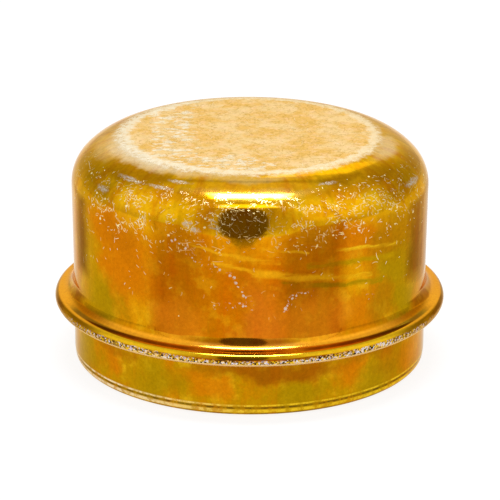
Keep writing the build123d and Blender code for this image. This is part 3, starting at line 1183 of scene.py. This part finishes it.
def tent_brightness(make):
    """Brightness of the tent in the direction of a ray, as gloss shows it."""
    facing = make.add("ShaderNodeTexCoord").outputs["Generated"]
    across, depth, up = make.parts(facing)
    raised = make.smooth(up, 0.0, 0.30)
    level = 1.0
    for direction, edge, middle, amount in TENT_SPOTS:
        close = make.vector("DOT_PRODUCT", facing, direction)
        level = make.total(make.product(make.smooth(close, edge, middle), raised, amount), level)
    seam = make.product(make.smooth(up, SEAM_LOW - SEAM_SOFT, SEAM_LOW + SEAM_SOFT),
                        make.smooth(up, SEAM_HIGH + SEAM_SOFT, SEAM_HIGH - SEAM_SOFT),
                        make.smooth(depth, 0.2, 0.35),
                        make.smooth(make.unsigned(across), 0.45, 0.25), SEAM_DEPTH)
    return make.most(make.total(level, seam), DIMMEST)


def white_tent(studio):
    """World: white behind the picture, a tent with dim corners in gloss, a plain level on matt surfaces."""
    world = bpy.data.worlds.new("white_tent")
    world.use_nodes = True
    world.node_tree.nodes.clear()
    make = NodeMaker(world.node_tree)
    path = make.add("ShaderNodeLightPath").outputs
    clear = make.most(path["Is Camera Ray"], path["Is Transmission Ray"])
    matt = make.math("SUBTRACT", 1.0, make.most(clear, path["Is Glossy Ray"]))
    mirrored = make.product(path["Is Glossy Ray"], tent_brightness(make))
    strength = make.total(make.product(matt, studio.ambient), make.total(clear, mirrored))
    tent = make.add("ShaderNodeBackground", {"Strength": strength})
    make.add("ShaderNodeOutputWorld", {"Surface": tent.outputs["Background"]})
    return world


def stage_mesh(name, points, material, faces=None):
    """A stage piece from its corners: one face, or the faces given."""
    mesh = bpy.data.meshes.new(name)
    mesh.from_pydata(points, [], faces or [tuple(range(len(points)))])
    mesh.materials.append(material)
    card = new_object(name, mesh)
    return card


def reflection_card(name, outline, material, faces=None):
    """A card that shows only in reflections, from its corners in millimetres."""
    card = stage_mesh(name, [Vector(corner) * MM for corner in outline], material, faces)
    card.visible_camera = False
    card.visible_diffuse = False
    card.visible_shadow = False
    return card


def soft_lamp(name, place, target, width, depth, radiance):
    """A rectangular lamp of this brightness, facing its target."""
    data = bpy.data.lights.new(name, "AREA")
    data.shape = "RECTANGLE"
    data.size = width
    data.size_y = depth
    data.energy = radiance * math.pi * width * depth
    lamp = new_object(name, data)
    lamp.location = place
    lamp.rotation_euler = (Vector(target) - Vector(place)).to_track_quat("-Z", "Y").to_euler()
    lamp.visible_camera = False


def upright(left, right, low, high, y):
    """Corners of an upright rectangle that faces the cap."""
    return [(left, y, low), (right, y, low), (right, y, high), (left, y, high)]


def lying_flat(half_width, half_depth, z, y=0.0):
    """Corners of a level rectangle."""
    near, far = y - half_depth, y + half_depth
    return [(-half_width, near, z), (half_width, near, z), (half_width, far, z), (-half_width, far, z)]


def round_cornered(middle_x, middle_z, half_width, half_height, y, squareness=2.8, steps=64):
    """Outline of an upright shape between an oval and a rectangle."""
    corners = []
    for i in range(steps):
        cosine, sine = math.cos(2 * math.pi * i / steps), math.sin(2 * math.pi * i / steps)
        corners.append((middle_x + half_width * math.copysign(abs(cosine) ** (2 / squareness), cosine), y,
                        middle_z + half_height * math.copysign(abs(sine) ** (2 / squareness), sine)))
    return corners


def mirrored_ray(azimuth):
    """Plan of the ray that the wall mirrors at this azimuth: where it starts, and its heading."""
    turn = math.radians(azimuth)
    start = Vector((WALL_MM * math.sin(turn), -WALL_MM * math.cos(turn)))
    return start, Vector((math.sin(2 * turn), -math.cos(2 * turn)))


def mirrored_out(azimuth):
    """Where the ray that the wall mirrors at this azimuth meets the mat's start, and the opening."""
    start, heading = mirrored_ray(azimuth)
    reach = (OPENING_Y - start.y) / heading.y
    return start + heading * min(MAT_START, reach - 1.0), start + heading * reach


def warm_opening():
    """The opening and the mat before it, in one card with columns by azimuth."""
    first, last = OPENING_TONES[0][0], OPENING_TONES[-1][0]
    corners, across = [], []
    for i in range(OPENING_STEPS + 1):
        near, far = mirrored_out(first + (last - first) * i / OPENING_STEPS)
        corners += [(*near, MAT_HEIGHT), (*far, MAT_HEIGHT), (*far, OPENING_HEIGHT)]
        across += [i / OPENING_STEPS] * 3
    faces = [(k, k + 3, k + 4, k + 1) for i in range(OPENING_STEPS) for k in (3 * i, 3 * i + 1)]
    card = reflection_card("warm_opening", corners, opening_material(), faces)
    uv = card.data.uv_layers.new(name="azimuth")
    for loop in card.data.loops:
        uv.data[loop.index].uv = (across[loop.vertex_index], 0.0)


def glow_card(name, outline, tone, strength=1.0):
    """A reflection card with an even glow of its own."""
    reflection_card(name, outline, glow_material(f"{name}_glow", tone, strength))


def front_of_tent(studio):
    """The warm opening, the dim slit over it, the dark camera in the slit, and the bright patch above."""
    warm_opening()
    for ring in range(SOFT_RINGS):
        left = SLIT_LEFT + SLIT_LEFT_STEP * ring
        right = SLIT_RIGHT + SLIT_RIGHT_STEP * ring
        outline = round_cornered((left + right) / 2, SLIT_MIDDLE, (right - left) / 2,
                                 SLIT_HALF + SLIT_HALF_STEP * ring,
                                 OPENING_Y + SLIT_AHEAD - SLIT_RING_GAP * ring, squareness=5.0)
        glow_card(f"slit_{ring}", outline, softened(studio.slit, ring))
    for name, middle in JAMBS.items():
        outline = upright(middle - JAMB_HALF, middle + JAMB_HALF, JAMB_LOW, JAMB_HIGH,
                          OPENING_Y + JAMB_AHEAD)
        glow_card(name, outline, studio.jamb)
    for name, grow, share in (("camera_edge", CAMERA_EDGE, 0.5), ("camera_body", 0.0, 0.0)):
        tone = [dark + (dim - dark) * share for dark, dim in zip(studio.camera_body, studio.slit)]
        outline = round_cornered(CAMERA_X, CAMERA_Z, CAMERA_HALF_WIDTH + grow, CAMERA_HALF_HEIGHT + grow,
                                 OPENING_Y + CAMERA_AHEAD - CAMERA_EDGE_GAP * grow)
        glow_card(name, outline, tone)
    glow_card("bright_patch", upright(*PATCH, OPENING_Y + PATCH_AHEAD), PATCH_TONE, studio.patch)


def overhead_core(studio):
    """Hot middle of the softbox, which fades out towards its edges."""
    for ring, share in enumerate(CORE_SHARES):
        outline = lying_flat(CORE_HALF_WIDTH + CORE_WIDTH_STEP * ring,
                             CORE_HALF_DEPTH + CORE_DEPTH_STEP * ring, CORE_Z + ring, CORE_Y)
        glow_card(f"softbox_core_{ring}", outline, (1.0, 1.0, 1.0), studio.core * share)


def softened(tone, ring):
    """The tone of one ring round a card, which fades to the white of the tent."""
    share = ring / SOFT_RINGS
    return [dark + (1.0 - dark) * share for dark in tone]


def side_flags(studio):
    """Dim flags beside the cap, which draw a soft dark band down each edge of the wall."""
    for name, (side, first, last, fade) in FLAGS.items():
        for ring in range(SOFT_RINGS):
            low, high = FLAG_LOW - ring, FLAG_HIGH + ring
            away = FLAG_AWAY + FLAG_SPACING * ring
            start, heading = mirrored_ray(first - FLAG_FADE * ring)
            near = start + heading * away
            start, heading = mirrored_ray(last + fade * ring)
            far = start + heading * away
            corners = [(*near, low), (*far, low), (*far, high), (*near, high)]
            glow_card(f"{name}_{ring}", [(side * x, y, z) for x, y, z in corners],
                      softened(studio.flag, ring))


def aim_camera(studio):
    """Camera at the picture's viewing angle."""
    data = bpy.data.cameras.new("camera")
    data.lens = studio.focal
    data.sensor_width = 36.0
    data.clip_start = 0.01
    camera = new_object("camera", data)
    target = Vector((0.0, 0.0, studio.target_height))
    back = Vector((0.0, -math.cos(studio.elevation), math.sin(studio.elevation)))
    place = target + back * studio.distance
    up = Vector((0.0, math.sin(studio.elevation), math.cos(studio.elevation)))
    centre = target - up * studio.aim_down + Vector((studio.aim_right, 0.0, 0.0))
    facing = (centre - place).to_track_quat("-Z", "Y").to_matrix().to_4x4()
    camera.matrix_world = Matrix.Translation(place) @ facing @ Matrix.Rotation(studio.roll, 4, "Z")
    bpy.context.scene.camera = camera


class GREASECAP_OT_cap(Operator):
    """Make the cap: one bent sheet, swept round its axis and plated"""
    bl_idname = "greasecap.cap"
    bl_label = "Make cap"

    def execute(self, context):
        sizes = context.scene.cap_sizes
        finish = context.scene.cap_finish
        mesh, rows, outer_rows = section_mesh(sizes)
        wire = new_object("section", mesh)
        tree = sweep_tree()
        sweep = wire.modifiers.new("sweep", "NODES")
        sweep.node_group = tree
        values = {
            "Rows": rows,
            "Outer rows": outer_rows,
            "Segments": sizes.segments,
            "Height": sizes.height,
            "Waviness": sizes.waviness,
            "Outside finish": outside_finish(finish, sizes.height),
            "Inside finish": inside_finish(finish, sizes.height),
        }
        for item in tree.interface.items_tree:
            if item.name in values:
                sweep[item.identifier] = values[item.name]
        context.view_layer.update()
        evaluated = wire.evaluated_get(context.evaluated_depsgraph_get())
        solid = bpy.data.meshes.new_from_object(evaluated)
        if len(solid.polygons) < sizes.segments * (rows - 2):
            raise RuntimeError("the sweep left the cap open")
        solid.name = "grease_cap"
        bpy.data.objects.remove(wire)
        cap = new_object("plated_cap", solid)
        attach(cap, BODY)
        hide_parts(CAD_NODE)
        return {"FINISHED"}


class GREASECAP_OT_studio(Operator):
    """Set the floor, the lamps, the reflection cards and the camera"""
    bl_idname = "greasecap.studio"
    bl_label = "Make studio"

    def execute(self, context):
        studio = context.scene.cap_studio
        context.scene.view_settings.view_transform = "Standard"
        context.scene.world = white_tent(studio)
        stage_mesh("floor", lying_flat(FLOOR_HALF, FLOOR_HALF, FLOOR_Z), floor_material(studio))
        for name, shape in LAMPS.items():
            soft_lamp(name, *shape, getattr(studio, name))
        overhead_core(studio)
        front_of_tent(studio)
        side_flags(studio)
        aim_camera(studio)
        return {"FINISHED"}


class GREASECAP_PT_panel(Panel):
    """Sizes, finish and studio of the grease cap"""
    bl_idname = "GREASECAP_PT_panel"
    bl_label = "Grease Cap"
    bl_space_type = "VIEW_3D"
    bl_region_type = "UI"
    bl_category = "Grease Cap"

    def draw(self, context):
        for operator in (GREASECAP_OT_cap, GREASECAP_OT_studio):
            self.layout.operator(operator.bl_idname)
        for group in (context.scene.cap_sizes, context.scene.cap_finish, context.scene.cap_studio):
            box = self.layout.box()
            for name in group.__annotations__:
                box.prop(group, name)


CLASSES = (CapSizes, CapFinish, StudioSettings, GREASECAP_OT_cap, GREASECAP_OT_studio, GREASECAP_PT_panel)
GROUPS = {"cap_sizes": CapSizes, "cap_finish": CapFinish, "cap_studio": StudioSettings}


def register():
    for cls in CLASSES:
        bpy.utils.register_class(cls)
    for name, group in GROUPS.items():
        setattr(bpy.types.Scene, name, PointerProperty(type=group))


def unregister():
    for name in GROUPS:
        delattr(bpy.types.Scene, name)
    for cls in reversed(CLASSES):
        bpy.utils.unregister_class(cls)


def main():
    register()
    bpy.ops.greasecap.cap()
    bpy.ops.greasecap.studio()


if __name__ == "__main__":
    main()
